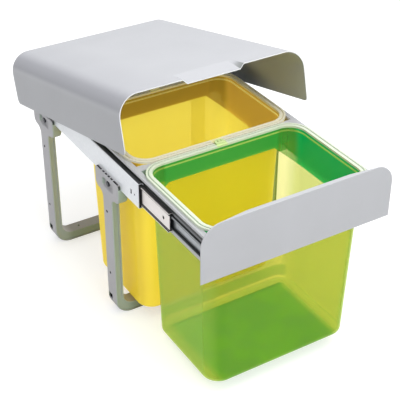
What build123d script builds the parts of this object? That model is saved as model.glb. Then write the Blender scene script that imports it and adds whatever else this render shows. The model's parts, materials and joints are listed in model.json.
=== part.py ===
from build123d import *
import os

# Pull-out unit for a floor cabinet: two U-shaped leg frames carry a pair of three-part ball
# slides, a steel drawer frame hangs between them and holds two bins by their rims, and a
# bent sheet lid hinges at the rear.  X is to the right seen from the front, Y to the rear,
# Z up.  The origin is on the cabinet floor, in the middle of the four floor screws.
# Every piece is drawn with the drawer shut and the lid down, then moved to the shown pose.

# ---------------------------------------------------------------- shown pose
shown_opening = 201.5        # drawer pulled forward from shut
shown_lid_angle = 13.9       # lid raised from flat, degrees

# ---------------------------------------------------------------- slides
slide_span = 324.0           # over the outer faces of the two fixed channels
slide_length = 450.0
slide_height = 45.6
slide_width = 12.7           # from the fixed channel's face to the drawer rail
slide_sheet = 1.2
slide_bend = 1.8             # outer radius of the channels' bends
slide_centre_z = 296.5
running_gap = 0.35           # between a ball and the race beside it
outer_ball_r = 2.0
inner_ball_r = 1.3
outer_ball_u = 6.5           # ball row, measured inwards from the fixed channel's face
inner_ball_u = 9.3
outer_lip_drop = 0.5         # how far a race lip passes the middle of its balls
inner_lip_drop = 0.3
mid_flange_u = 3.4           # outer edges of the intermediate channel's flanges
mid_web_u = 5.4              # outer face of its web, set back between them
inner_flange_u = 7.9         # free edge of the inner channel's flanges
inner_lip = 3.0
mid_front_setback = 13.7     # intermediate channel's ends inside the fixed one's
mid_rear_setback = 6.3
inner_front_setback = 1.5    # inner channel's ends inside the fixed one's
inner_rear_setback = 7.5
cage_length = 190.0
cage_balls = 7               # in each row
outer_cage_sheet = 0.8
outer_cage_u = 1.9
outer_cage_reach = 9.6
inner_cage_sheet = 0.6
inner_cage_u = 7.0
inner_cage_reach = 11.2
cage_hold = 0.15             # a ball's pocket is this much smaller in radius than the ball
face_slot_width = 4.5
face_slot_height = 9.0
face_slot_from_front = 24.0
face_hole_r = 1.8
face_hole_from_front = 12.5
face_holes_drop = 2.5        # below the middle of the channel
mid_hole_r = 3.0
mid_hole_from_front = 18.0
lug_sheet = 2.0
lug_inset = 2.5              # lug's outer face from the fixed channel's outer face
lug_length = 24.0
lug_drop = 17.7
stop_block = 3.5
stop_block_reach = 10.0
stop_block_half_height = 12.0
stop_block_round = 1.5

# ---------------------------------------------------------------- leg frames
leg_inset = 100.0            # a frame's middle from the end of the slides
head_wall = 6.0              # outside the channel
leg_depth = 32.0
leg_thickness = 14.0
crossbar_height = 19.5
crossbar_depth = 25.0
crossbar_taper = 16.0        # where the crossbar widens into the legs
outer_bend = 30.0
inner_bend = 20.0
leg_edge_round = 2.5
frame_wall = 2.5
front_recess = 2.0
front_recess_from_flare = 2.0
back_hollow = 26.0
back_hollow_past_flare = 12.0
rib_sheet = 2.0
rib_pitch = 36.0
head_length = 82.0
head_wall_rise = 10.3        # outer wall above the channel's seat
head_shoulder_drop = 15.7    # below the seat the flare has the head's full length
head_flare_drop = 39.7       # and here it leaves the leg
head_inner_gap = 1.7         # between the head and the drawer rail that runs past it
head_round = 5.0
gusset_top_drop = 12.0       # below the seat
gusset_foot_drop = 34.0
pocket_width = 3.0
pocket_depth = 6.5
pocket_wall = 1.5
long_pocket = 16.0
short_pocket = 6.4
pocket_gap = 3.2
short_pockets = 4
lug_clearance = 0.25
lug_screw_drop = 6.7         # below the channel's seat
lug_screw_r = 2.5
lug_screw_head_r = 4.8
lug_screw_head = 2.6
lug_screw_head_round = 1.2
lug_screw_tip = 1.3
screw_clearance = 0.2
dish_floor_size = (26.0, 15.0)
dish_mouth_size = (40.0, 19.0)
dish_mouth_ahead = 5.0       # the dish is drawn out towards the front
dish_corner = 6.0
dish_depth = 4.0
side_hole_r = 2.25
side_hole_z = (84.0, 212.0)
side_hole_back = 3.0         # behind the leg's middle
floor_hole_spacing = 230.0
floor_hole_r = 2.5
floor_boss_r = 6.0
window_bottom = 24.0
window_top = 37.0
window_depth = 16.5
window_web = 2.0             # closes the hollow behind the window

# ---------------------------------------------------------------- drawer frame
rail_sheet = 1.2
rail_height = 59.0
rail_rise = 34.5             # rail's top above the middle of the slides
rail_flange = 8.9            # outwards over the slide
rail_flange_edge = 4.0
rail_return = 2.6
panel_gap = 1.0              # panel's back to the fixed channels when shut
drawer_short = 2.0           # drawer frame shorter than the slides
cross_height = 32.0
cross_clearance = 2.0        # between a cross rail and a bin wall
front_cross_flange = 14.0
cross_tab = 12.0
cross_tab_round = 5.0
rivet_r = 2.0
rivet_head_r = 3.6
rivet_head = 1.0
rivet_head_edge = 0.5        # bevel round the head
rivet_from_ends = 30.0
rivet_middle = 150.0         # middle rivet, from the inner channel's front end

# ---------------------------------------------------------------- front panel
panel_overlap = 0.5          # past the lid on each side
panel_height = 98.0
panel_sheet = 1.5
panel_lip = 7.0              # folded back along the straight top
panel_lip_taper = 45.0       # each end of the lip narrows over this length
panel_corner = 35.5
panel_edge_round = 0.6
stud_r = 2.5
stud_length = 7.5
stud_from_edge = 48.0
stud_rise = 15.0
nut_across_flats = 8.0
nut_height = 4.0
nut_flange_r = 5.4
nut_flange = 1.0

# ---------------------------------------------------------------- bins
bin_side_gap = 4.1           # between a bin's collar and the side rails
rim_corner = 39.8
rim_overhang = 8.3
rim_sheet = 2.5
rim_lip = 2.0
rim_rise = 4.6               # rim's top above the rails that carry it
rim_groove = 2.0
rim_groove_depth = 1.3
rim_groove_inset = 3.0
bin_gap = 2.7                # between the two rims
panel_to_rim = 7.3
rear_margin = 5.4            # rear cross rail past the rear bin's rim
bin_wall = 2.0
bin_shoulder = 8.0           # step in the wall below the rim's top
bin_step = 1.8
bin_side_draft = 9.0         # each side, from the collar to the base
bin_end_draft = 8.6
bin_base_corner = 29.6
bin_floor = 2.5
bin_foot_round = 8.0
bin_floor_gap = 4.1          # bin's underside above the crossbars it passes over
tab_r = 9.0
tab_sheet = 2.2
tab_lift = 0.3
tab_reach = 6.5
tab_root_gap = 2.0           # tab's root from the bin's collar
tab_slot = (2.4, 4.5)
tab_slot_offset = 3.2

# ---------------------------------------------------------------- lid
cover_side_gap = 3.0         # between a skirt and the leg heads
cover_rise = 30.0            # lid's and panel's top above the rails
cover_sheet = 1.5
cover_corner = 36.0
cover_gap = 4.9              # lid's front edge behind the panel's lip when both are shut
cover_past_slides = 5.4      # at the rear
skirt_height = 92.5
skirt_front_corner = 7.0
skirt_rear_corner = 10.0
recess_depth = 7.5
recess_half_width = 49.0
recess_run = 7.5
recess_length = 38.0
hinge_from_rear = 47.4
hinge_from_top = 81.0
hinge_pin_r = 3.0
hinge_running_fit = 0.05
hinge_pin_end_gap = 0.2
hinge_pin_chamfer = 0.5
ear_sheet = 3.2
ear_r = 9.0
ear_rise = 42.0
ear_corner = 4.0
ear_side_gap = 0.5
bracket_sheet = 2.0
bracket_length = 41.0
bracket_height = 43.0
bracket_corner = 4.0
bracket_ahead = 11.5         # bracket's front edge ahead of the hinge
pin_collar_r = 5.0
bracket_rivet_behind = 16.5  # behind the hinge
bracket_rivet_rise = (11.0, 33.0)
bracket_rivet_head = 1.6

# ---------------------------------------------------------------- worked out from these
slide_front = -slide_length / 2
slide_rear = slide_length / 2
mid_length = slide_length - mid_front_setback - mid_rear_setback
inner_length = slide_length - inner_front_setback - inner_rear_setback
seat_z = slide_centre_z - slide_height / 2
rail_top_z = slide_centre_z + rail_rise
cover_top_z = rail_top_z + cover_rise
rim_top_z = rail_top_z + rim_rise
outer_race = outer_ball_r + running_gap
inner_race = inner_ball_r + running_gap
outer_ball_w = slide_height / 2 - slide_sheet - outer_race
mid_half = outer_ball_w - outer_race
inner_ball_w = mid_half - slide_sheet - inner_race
inner_half = inner_ball_w - inner_race
rail_outer_x = slide_span / 2 - slide_width
rail_inner_x = rail_outer_x - rail_sheet
lug_x = slide_span / 2 - lug_inset
leg_spacing = slide_length - 2 * leg_inset
frame_half = slide_span / 2 + head_wall
leg_inner_x = frame_half - leg_thickness
head_inner_x = rail_outer_x + head_inner_gap
head_top_z = seat_z + head_wall_rise
head_shoulder_z = seat_z - head_shoulder_drop
head_flare_z = seat_z - head_flare_drop
lug_screw_z = seat_z - lug_screw_drop
dish_floor_x = frame_half - dish_depth
panel_back = slide_front - panel_gap
panel_front = panel_back - panel_sheet
drawer_rear = panel_back + slide_length - drawer_short
rim_width = 2 * (rail_inner_x - bin_side_gap + rim_overhang)
rim_length = (drawer_rear - panel_back - panel_to_rim - bin_gap - rear_margin) / 2
collar_width = rim_width - 2 * rim_overhang
collar_length = rim_length - 2 * rim_overhang
collar_corner = rim_corner - rim_overhang
bin_bottom_z = crossbar_height + bin_floor_gap
front_bin_y = panel_back + panel_to_rim + rim_length / 2
rear_bin_y = front_bin_y + rim_length + bin_gap
skirt_inner_x = frame_half + cover_side_gap
cover_half = skirt_inner_x + cover_sheet
panel_width = 2 * (cover_half + panel_overlap)
stud_x = panel_width / 2 - stud_from_edge
cover_front = panel_front + panel_lip + cover_gap
cover_rear = slide_rear + cover_past_slides
skirt_bottom_z = cover_top_z - skirt_height
hinge_y = cover_rear - hinge_from_rear
hinge_z = cover_top_z - hinge_from_top
bracket_front = hinge_y - bracket_ahead
bracket_outer_x = slide_span / 2 + bracket_sheet
crossbar_y = (crossbar_depth - leg_depth) / 2

# the origin lies between the floor screws, which stand in the middle of the crossbars
to_origin = Location((0, -crossbar_y, 0))

# a cutter runs this far past the face that it opens
overrun = 1.0

# two measures closer than this are the same when edges are picked
touching = 0.01


# ---------------------------------------------------------------- helpers
def along_x(sketch, x_from, x_to):
    """A sketch of (Y, Z) run from x_from to x_to."""
    return extrude(Plane.YZ.offset(x_from) * sketch, amount=x_to - x_from)


def along_y(sketch, y_from, y_to):
    """A sketch of (X, Z) run from y_from to y_to."""
    return extrude(Plane.XZ.offset(-y_to) * sketch, amount=y_to - y_from)


def along_z(sketch, z_from, z_to):
    """A sketch of (X, Y) run from z_from to z_to."""
    return extrude(Plane.XY.offset(z_from) * sketch, amount=z_to - z_from)


def span(x_from, x_to, y_from, y_to):
    """A rectangle between two pairs of limits."""
    centre = Pos((x_from + x_to) / 2, (y_from + y_to) / 2)
    return centre * Rectangle(abs(x_to - x_from), abs(y_to - y_from))


def pin_x(radius, x_from, x_to, y, z):
    """A round bar or hole along X."""
    return along_x(Pos(y, z) * Circle(radius), x_from, x_to)


def mirrored(shape):
    """The other side's copy."""
    return mirror(shape, about=Plane.YZ)


def both(shape):
    """A piece and its copy on the other side."""
    return shape + mirrored(shape)


def arch(width, height, corner, top_z):
    """Flat top, two large round corners and straight sides down to a square bottom."""
    block = Pos(0, top_z - height / 2) * Rectangle(width, height)
    return fillet(block.vertices().sort_by(Axis.Y)[-2:], corner)


def rounded(width, length, corner):
    return RectangleRounded(width, length, corner)


# ---------------------------------------------------------------- ball slides
def slide_run(section, y_from, length):
    """A section of (u, w) of the right slide: u runs inwards from the fixed channel's face,
    w up from the middle of the slide."""
    start = Plane(
        origin=(slide_span / 2, y_from, slide_centre_z), x_dir=(-1, 0, 0), z_dir=(0, 1, 0)
    )
    return extrude(start * section, amount=length)


def upper_and_lower(section):
    return section + mirror(section, about=Plane.XZ)


def race_lip(u, w, race, drop):
    """A quarter of a tube wall that wraps round the ball row at (u, w)."""
    ring = Pos(u, w) * (Circle(race + slide_sheet) - Circle(race))
    return ring & span(u, u + race + slide_sheet, w - drop, w + race + slide_sheet)


def rolled(section, u, w, radius):
    """A section with the bends at (u, w) and (u, -w) rounded."""
    bends = section.vertices().filter_by(
        lambda v: abs(v.X - u) < touching and abs(abs(v.Y) - w) < touching
    )
    return fillet(bends, radius)


def fixed_channel_section():
    half = slide_height / 2
    web = span(0, slide_sheet, -half, half)
    flange = span(0, outer_ball_u, half - slide_sheet, half)
    lip = race_lip(outer_ball_u, outer_ball_w, outer_race, outer_lip_drop)
    section = rolled(web + upper_and_lower(flange + lip), 0, half, slide_bend)
    return rolled(section, slide_sheet, half - slide_sheet, slide_bend - slide_sheet)


def mid_channel_section():
    """The web stands between flanges that are ball races on both sides."""
    web = span(mid_web_u, mid_web_u + slide_sheet, -mid_half, mid_half)
    flange = span(mid_flange_u, inner_ball_u, mid_half - slide_sheet, mid_half)
    lip = race_lip(inner_ball_u, inner_ball_w, inner_race, inner_lip_drop)
    return web + upper_and_lower(flange + lip)


def inner_channel_section():
    web = span(slide_width - slide_sheet, slide_width, -inner_half, inner_half)
    flange = span(inner_flange_u, slide_width, inner_half - slide_sheet, inner_half)
    lip = span(inner_flange_u, inner_flange_u + slide_sheet, inner_half - inner_lip, inner_half)
    section = rolled(web + upper_and_lower(flange + lip), slide_width, inner_half, slide_bend)
    inside_u = slide_width - slide_sheet
    return rolled(section, inside_u, inner_half - slide_sheet, slide_bend - slide_sheet)


def fixed_channel():
    """The cabinet-side member, with the lugs that drop into the leg heads."""
    body = slide_run(fixed_channel_section(), slide_front, slide_length)
    holes_z = slide_centre_z - face_holes_drop
    slot = SlotOverall(face_slot_height, face_slot_width, rotation=90)
    slot = Pos(slide_front + face_slot_from_front, holes_z) * slot
    hole = Pos(slide_front + face_hole_from_front, holes_z) * Circle(face_hole_r)
    body -= along_x(slot + hole, slide_span / 2 - slide_sheet, slide_span / 2)
    for frame_y in (-leg_spacing / 2, leg_spacing / 2):
        outline = span(
            frame_y - lug_length / 2, frame_y + lug_length / 2, seat_z - lug_drop, seat_z
        )
        lug = along_x(outline, lug_x - lug_sheet, lug_x)
        body += lug - pin_x(lug_screw_r, lug_x - lug_sheet, lug_x, frame_y, lug_screw_z)
    for y, z in bracket_rivet_places():
        body -= pin_x(rivet_r, slide_span / 2 - slide_sheet, slide_span / 2, y, z)
    return body


def mid_channel():
    front = slide_front + mid_front_setback
    body = slide_run(mid_channel_section(), front, mid_length)
    web_x = slide_span / 2 - mid_web_u
    hole_y = front + mid_hole_from_front
    return body - pin_x(mid_hole_r, web_x - slide_sheet, web_x, hole_y, slide_centre_z)


def rivet_places():
    front = slide_front + inner_front_setback
    rear = front + inner_length
    return (front + rivet_from_ends, front + rivet_middle, rear - rivet_from_ends)


def inner_channel():
    body = slide_run(inner_channel_section(), slide_front + inner_front_setback, inner_length)
    for y in rivet_places():
        body -= pin_x(rivet_r, rail_outer_x, rail_outer_x + slide_sheet, y, slide_centre_z)
    return body


def ball_places():
    step = cage_length / cage_balls
    return [step * (i - (cage_balls - 1) / 2) for i in range(cage_balls)]


def cage(ball_u, ball_w, ball_r, lip_drop, web_u, reach, sheet):
    """Thin strip with a web and two flanges; the balls sit in round pockets of the flanges,
    which run midway between the inner race and the edge of the outer race's lip."""
    flange_top = ball_w - (ball_r + running_gap + lip_drop - sheet) / 2
    web = span(web_u, web_u + sheet, -flange_top, flange_top)
    flange = span(web_u, reach, flange_top - sheet, flange_top)
    body = slide_run(web + upper_and_lower(flange), -cage_length / 2, cage_length)
    x = slide_span / 2 - ball_u
    for y in ball_places():
        pocket = Pos(x, y) * Circle(ball_r - cage_hold)
        z_low, z_high = slide_centre_z + flange_top - sheet, slide_centre_z + flange_top
        body -= along_z(pocket, z_low, z_high)
        z_low, z_high = slide_centre_z - flange_top, slide_centre_z - flange_top + sheet
        body -= along_z(pocket, z_low, z_high)
    return body


def balls(ball_u, ball_w, ball_r):
    x = slide_span / 2 - ball_u
    rows = (slide_centre_z - ball_w, slide_centre_z + ball_w)
    right = [Pos(x, y, z) * Sphere(ball_r) for y in ball_places() for z in rows]
    return right + [mirrored(ball) for ball in right]


def outer_cage():
    return cage(
        outer_ball_u, outer_ball_w, outer_ball_r, outer_lip_drop,
        outer_cage_u, outer_cage_reach, outer_cage_sheet,
    )


def inner_cage():
    return cage(
        inner_ball_u, inner_ball_w, inner_ball_r, inner_lip_drop,
        inner_cage_u, inner_cage_reach, inner_cage_sheet,
    )


def stop_blocks():
    """Rear stops in the fixed channels, one solid each."""
    face = span(slide_sheet, stop_block_reach, -stop_block_half_height, stop_block_half_height)
    right = slide_run(fillet(face.vertices(), stop_block_round), slide_rear - stop_block, stop_block)
    return [right, mirrored(right)]


# ---------------------------------------------------------------- leg frames
def u_outline(inset, top_z):
    """The frame seen from the front, drawn in by an inset all round and cut at top_z."""
    half = frame_half - inset
    outer = span(-half, half, inset, top_z)
    outer = fillet(outer.vertices().sort_by(Axis.Y)[:2], outer_bend - inset)
    inner_half = leg_inner_x + inset
    inner = span(-inner_half, inner_half, crossbar_height - inset, top_z + overrun)
    inner = fillet(inner.vertices().sort_by(Axis.Y)[:2], inner_bend + inset)
    return outer - inner


def s_curve(start, end):
    """Two equal arcs from start to end, upright at both ends."""
    middle = ((start[0] + end[0]) / 2, (start[1] + end[1]) / 2)
    way = 1 if end[1] > start[1] else -1
    lower = TangentArc(start, middle, tangent=(0, way))
    upper = TangentArc(end, middle, tangent=(0, -way))
    return lower + upper


def head_side_outline():
    """The head seen from the side: the leg flares to the head's full length."""
    half, leg_half = head_length / 2, leg_depth / 2
    rear_flare = s_curve((leg_half, head_flare_z), (half, head_shoulder_z))
    box = Polyline(
        (half, head_shoulder_z), (half, head_top_z), (-half, head_top_z), (-half, head_shoulder_z)
    )
    front_flare = s_curve((-half, head_shoulder_z), (-leg_half, head_flare_z))
    foot = Line((-leg_half, head_flare_z), (leg_half, head_flare_z))
    return make_face(rear_flare + box + front_flare + foot)


def head_front_outline():
    """The head seen from the front: outer wall, seat for the channel, gusset to the leg."""
    gusset_top_z, gusset_foot_z = seat_z - gusset_top_drop, seat_z - gusset_foot_drop
    wall = Polyline(
        (frame_half, head_flare_z), (frame_half, head_top_z), (slide_span / 2, head_top_z),
        (slide_span / 2, seat_z), (head_inner_x, seat_z), (head_inner_x, gusset_top_z),
    )
    gusset = s_curve((head_inner_x, gusset_top_z), (leg_inner_x, gusset_foot_z))
    foot = Polyline(
        (leg_inner_x, gusset_foot_z), (leg_inner_x, head_flare_z), (frame_half, head_flare_z)
    )
    return make_face(wall + gusset + foot)


def head_pockets():
    """Row of open pockets in the top of the outer wall: long, short ones, long."""
    row = [long_pocket] + [short_pocket] * short_pockets + [long_pocket]
    y = -(sum(row) + pocket_gap * (len(row) - 1)) / 2
    x_low = slide_span / 2 + pocket_wall
    cutters = []
    for length in row:
        outline = span(x_low, x_low + pocket_width, y, y + length)
        cutters.append(along_z(outline, head_top_z - pocket_depth, head_top_z))
        y += length + pocket_gap
    return cutters


def screw_dish():
    """Dish in the head's outer face for the lug screw, drawn out towards the front."""
    floor = RectangleRounded(*dish_floor_size, dish_corner)
    mouth = Pos(-dish_mouth_ahead, 0) * RectangleRounded(*dish_mouth_size, dish_corner)
    at_floor = Plane(origin=(dish_floor_x, 0, lug_screw_z), x_dir=(0, 1, 0), z_dir=(1, 0, 0))
    return loft([at_floor * floor, at_floor.offset(dish_depth) * mouth])


def head_block():
    """Right-hand head of a leg, about the frame's own middle."""
    body = along_x(head_side_outline(), head_inner_x, frame_half)
    body &= along_y(head_front_outline(), -head_length / 2, head_length / 2)
    return fillet(body.edges().filter_by(Axis.X).group_by(Axis.Z)[-1], head_round)


def head_cuts():
    """What is taken out of a head: pockets, lug slot, screw dish and screw hole."""
    slot_y = lug_length / 2 + lug_clearance
    slot = span(-slot_y, slot_y, seat_z - lug_drop - lug_clearance, seat_z)
    slot_x = lug_x - lug_sheet - lug_screw_tip - lug_clearance
    cutters = head_pockets()
    cutters.append(along_x(slot, slot_x, lug_x + lug_clearance))
    cutters.append(screw_dish())
    cutters.append(pin_x(lug_screw_r + screw_clearance, lug_x, dish_floor_x, 0, lug_screw_z))
    return cutters


def frame_ribs():
    """Cross ribs in the hollow back of a frame, level in the legs and upright in the bar."""
    y_from, y_to = leg_depth / 2 - back_hollow, leg_depth / 2
    bar_y_to = crossbar_y + crossbar_depth / 2
    root = frame_wall / 2
    ribs = []
    z = crossbar_height + rib_pitch
    while z < head_flare_z:
        level = span(leg_inner_x + root, frame_half - root, z, z + rib_sheet)
        ribs.append(both(along_y(level, y_from, y_to)))
        z += rib_pitch
    x = rib_pitch / 2
    while x < frame_half - outer_bend:
        upright = span(x - rib_sheet / 2, x + rib_sheet / 2, root, crossbar_height - root)
        ribs.append(both(along_y(upright, y_from, bar_y_to)))
        x += rib_pitch
    return ribs


def leg_frame():
    """One moulding: two legs, their heads and the crossbar on the floor."""
    body = along_y(u_outline(0, head_flare_z), -leg_depth / 2, leg_depth / 2)
    body += both(head_block())
    body = fillet(outer_edges(body), leg_edge_round)
    recess = u_outline(frame_wall, head_flare_z - front_recess_from_flare)
    body -= along_y(recess, -leg_depth / 2, -leg_depth / 2 + front_recess)
    hollow = u_outline(frame_wall, head_flare_z + back_hollow_past_flare)
    body -= along_y(hollow, leg_depth / 2 - back_hollow, leg_depth / 2)
    for rib in frame_ribs():
        body += rib
    body += both(window_back())
    body -= crossbar_back()
    for cutter in head_cuts():
        body -= both(cutter)
    boss = Pos(floor_hole_spacing / 2, crossbar_y) * Circle(floor_boss_r)
    hole = Pos(floor_hole_spacing / 2, crossbar_y) * Circle(floor_hole_r)
    body += both(along_z(boss, frame_wall / 2, crossbar_height - frame_wall / 2))
    body -= both(along_z(hole, 0, crossbar_height))
    for z in side_hole_z:
        body -= both(pin_x(side_hole_r, leg_inner_x, frame_half, side_hole_back, z))
    window_rear = leg_depth / 2 - window_web
    window = span(leg_depth / 2 - window_depth, window_rear, window_bottom, window_top)
    body -= both(along_x(window, frame_half - 2 * frame_wall, frame_half))
    return body


def window_back():
    """Web across the hollow's open back, behind the window in the right-hand bend."""
    root = frame_wall / 2
    web = span(leg_inner_x, frame_half, 0, window_top + frame_wall) & u_outline(root, head_flare_z)
    return along_y(web, leg_depth / 2 - window_web, leg_depth / 2)


def outer_edges(body):
    """The long edges round the outside of the frame: legs, heads, bends and underside."""
    return body.edges().filter_by(lambda edge: on_outer_line(edge.center()))


def on_outer_line(point):
    """True for the middle of an edge of the outer side faces, of the bends or underside."""
    beside = abs(abs(point.X) - frame_half) < touching
    below = point.Z < crossbar_height / 2 and abs(abs(point.Y) - leg_depth / 2) < touching
    return beside or below


def crossbar_back():
    """What is taken off behind the crossbar, which is less deep than the legs."""
    back = leg_depth / 2
    bar_back = crossbar_y + crossbar_depth / 2
    line = Polyline(
        (-leg_inner_x, back), (-leg_inner_x + crossbar_taper, bar_back),
        (leg_inner_x - crossbar_taper, bar_back), (leg_inner_x, back), close=True,
    )
    return along_z(make_face(line), -overrun, crossbar_height + inner_bend)


def lug_screws():
    """Four pan-head screws from the dishes of the heads into the channel lugs."""
    tip_x = lug_x - lug_sheet - lug_screw_tip
    screws = []
    for y in (-leg_spacing / 2, leg_spacing / 2):
        shank = pin_x(lug_screw_r, tip_x, dish_floor_x, y, lug_screw_z)
        pan_end = dish_floor_x + lug_screw_head
        pan = pin_x(lug_screw_head_r, dish_floor_x, pan_end, y, lug_screw_z)
        pan = fillet(pan.edges().group_by(Axis.X)[-1], lug_screw_head_round)
        screw = shank + pan
        screws += [screw, mirrored(screw)]
    return screws


# ---------------------------------------------------------------- drawer frame
def side_rail():
    """Bent rail: web beside the inner channel, flange with a turned edge over the slide."""
    bottom_z = rail_top_z - rail_height
    web = span(rail_inner_x, rail_outer_x, bottom_z, rail_top_z)
    flange_x = rail_inner_x + rail_flange
    flange = span(rail_inner_x, flange_x, rail_top_z - rail_sheet, rail_top_z)
    edge = span(flange_x - rail_sheet, flange_x, rail_top_z - rail_flange_edge, rail_top_z)
    bottom = span(rail_inner_x - rail_return, rail_outer_x, bottom_z, bottom_z + rail_sheet)
    section = web + flange + edge + bottom
    body = along_y(section, panel_back, drawer_rear)
    for y in rivet_places():
        body -= pin_x(rivet_r, rail_inner_x, rail_outer_x, y, slide_centre_z)
    return body


def cross_rail(section, y_low, y_high):
    """A rail across the drawer with a tab at each end that lies on the side rail's web."""
    body = along_x(section, -rail_inner_x, rail_inner_x)
    tab = span(y_low, y_high, rail_top_z - cross_height, rail_top_z - rail_sheet)
    tab = fillet(tab.vertices().sort_by(Axis.Y)[:2], cross_tab_round)
    return body + both(along_x(tab, rail_inner_x - rail_sheet, rail_inner_x))


def channel_down(y_low, y_high):
    """Section of (Y, Z): a channel open downwards."""
    bottom = rail_top_z - cross_height
    block = span(y_low, y_high, bottom, rail_top_z)
    hollow = span(y_low + rail_sheet, y_high - rail_sheet, bottom, rail_top_z - rail_sheet)
    return block - hollow


def bin_wall_y(bin_y, side):
    """Outside of a bin's front (-1) or rear (+1) wall below its rim."""
    return bin_y + side * (rim_length / 2 - rim_overhang)


def front_cross_rail():
    bottom = rail_top_z - cross_height
    web = span(panel_back, panel_back + rail_sheet, bottom, rail_top_z)
    top = span(panel_back, panel_back + front_cross_flange, rail_top_z - rail_sheet, rail_top_z)
    body = cross_rail(web + top, panel_back, panel_back + cross_tab)
    for x, z in stud_places():
        body -= along_y(Pos(x, z) * Circle(stud_r), panel_back, panel_back + rail_sheet)
    return body


def middle_cross_rail():
    y_low = bin_wall_y(front_bin_y, 1) + cross_clearance
    y_high = bin_wall_y(rear_bin_y, -1) - cross_clearance
    return cross_rail(channel_down(y_low, y_high), y_low - cross_tab, y_high + cross_tab)


def rear_cross_rail():
    y_low = bin_wall_y(rear_bin_y, 1) + cross_clearance
    return cross_rail(channel_down(y_low, drawer_rear), y_low - cross_tab, drawer_rear)


def rail_rivets():
    """Rivets through the inner channels and the side rails."""
    face_x = rail_outer_x + slide_sheet
    rivets = []
    for y in rivet_places():
        shank = pin_x(rivet_r, rail_inner_x, face_x, y, slide_centre_z)
        outer = pin_x(rivet_head_r, face_x, face_x + rivet_head, y, slide_centre_z)
        outer = chamfer(outer.edges().group_by(Axis.X)[-1], rivet_head_edge)
        inner = pin_x(rivet_head_r, rail_inner_x - rivet_head, rail_inner_x, y, slide_centre_z)
        inner = chamfer(inner.edges().group_by(Axis.X)[0], rivet_head_edge)
        rivet = shank + outer + inner
        rivets += [rivet, mirrored(rivet)]
    return rivets


# ---------------------------------------------------------------- front panel
def stud_places():
    middle = rail_top_z - cross_height / 2
    return [(x, middle + side * stud_rise / 2) for x in (-stud_x, stud_x) for side in (-1, 1)]


def front_panel():
    """Flat sheet with large top corners, its straight top folded back, studs behind."""
    face = arch(panel_width, panel_height, panel_corner, cover_top_z)
    body = along_y(face, panel_front, panel_back)
    lip_half = panel_width / 2 - panel_corner
    lip_rear = panel_front + panel_lip
    narrow_half = lip_half - panel_lip_taper
    lip = Polygon(
        (-lip_half, panel_back), (lip_half, panel_back),
        (narrow_half, lip_rear), (-narrow_half, lip_rear), align=None
    )
    body += along_z(lip, cover_top_z - panel_sheet, cover_top_z)
    body = fillet(body.edges().filter_by(on_panel_front), panel_edge_round)
    for x, z in stud_places():
        body += along_y(Pos(x, z) * Circle(stud_r), panel_back, panel_back + stud_length)
    return body


def on_panel_front(edge):
    """True for the edges round the panel's front face."""
    return abs(edge.center().Y - panel_front) < touching


def panel_nuts():
    """Flanged nuts on the studs, against the front cross rail."""
    seat = panel_back + rail_sheet
    nuts = []
    for x, z in stud_places():
        hexagon = Pos(x, z) * RegularPolygon(nut_across_flats / 2, 6, major_radius=False)
        nut = along_y(Pos(x, z) * Circle(nut_flange_r), seat, seat + nut_flange)
        nut += along_y(hexagon, seat + nut_flange, seat + nut_height)
        nuts.append(nut - along_y(Pos(x, z) * Circle(stud_r), seat, seat + nut_height))
    return nuts


# ---------------------------------------------------------------- bins
def bin_space(wall, floor_z, top_z):
    """The bin's body drawn in by a wall: tapered below the shoulder, straight above it."""
    shoulder_z = rim_top_z - bin_shoulder - (0 if wall else bin_wall)
    step = wall + bin_step
    base = rounded(
        collar_width - 2 * (bin_side_draft + wall), collar_length - 2 * (bin_end_draft + wall),
        bin_base_corner - wall,
    )
    neck = rounded(collar_width - 2 * step, collar_length - 2 * step, collar_corner - step)
    collar = rounded(collar_width - 2 * wall, collar_length - 2 * wall, collar_corner - wall)
    lower = loft([Pos(0, 0, floor_z) * base, Pos(0, 0, shoulder_z) * neck])
    lower = fillet(lower.edges().group_by(Axis.Z)[0], bin_foot_round - wall)
    return lower + along_z(collar, shoulder_z, top_z)


def bin_tab():
    """Small rounded tab in the middle of the rear rim, with two slots."""
    edge_y = rim_length / 2
    root_y = edge_y - rim_overhang + tab_root_gap
    low_z = rim_top_z + tab_lift
    root = span(-tab_r, tab_r, root_y, edge_y - rim_lip)
    root = along_z(root, rim_top_z - rim_sheet + rim_groove_depth, low_z + tab_sheet)
    plate = Pos(0, edge_y - tab_r + tab_reach) * Circle(tab_r)
    plate = plate & span(-tab_r, tab_r, root_y, edge_y + tab_reach)
    for x in (-tab_slot_offset, tab_slot_offset):
        plate -= Pos(x, edge_y + tab_reach / 2 - tab_slot[1] / 2) * Rectangle(*tab_slot)
    return root + along_z(plate, low_z, low_z + tab_sheet)


def waste_bin(bin_y):
    """Deep tapered box with round corners, a stepped collar and a rim with a turned lip."""
    body = bin_space(0, bin_bottom_z, rim_top_z)
    rim = rounded(rim_width, rim_length, rim_corner)
    inside_lip = rounded(
        rim_width - 2 * rim_lip, rim_length - 2 * rim_lip, rim_corner - rim_lip
    )
    body += along_z(rim, rim_top_z - rim_sheet, rim_top_z)
    body += along_z(rim - inside_lip, rail_top_z, rim_top_z)
    inset = rim_groove_inset
    groove = rounded(rim_width - 2 * inset, rim_length - 2 * inset, rim_corner - inset)
    inset += rim_groove
    groove -= rounded(rim_width - 2 * inset, rim_length - 2 * inset, rim_corner - inset)
    body -= along_z(groove, rim_top_z - rim_groove_depth, rim_top_z)
    body -= bin_space(bin_wall, bin_bottom_z + bin_floor, rim_top_z)
    return Pos(0, bin_y, 0) * (body + bin_tab())


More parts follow.
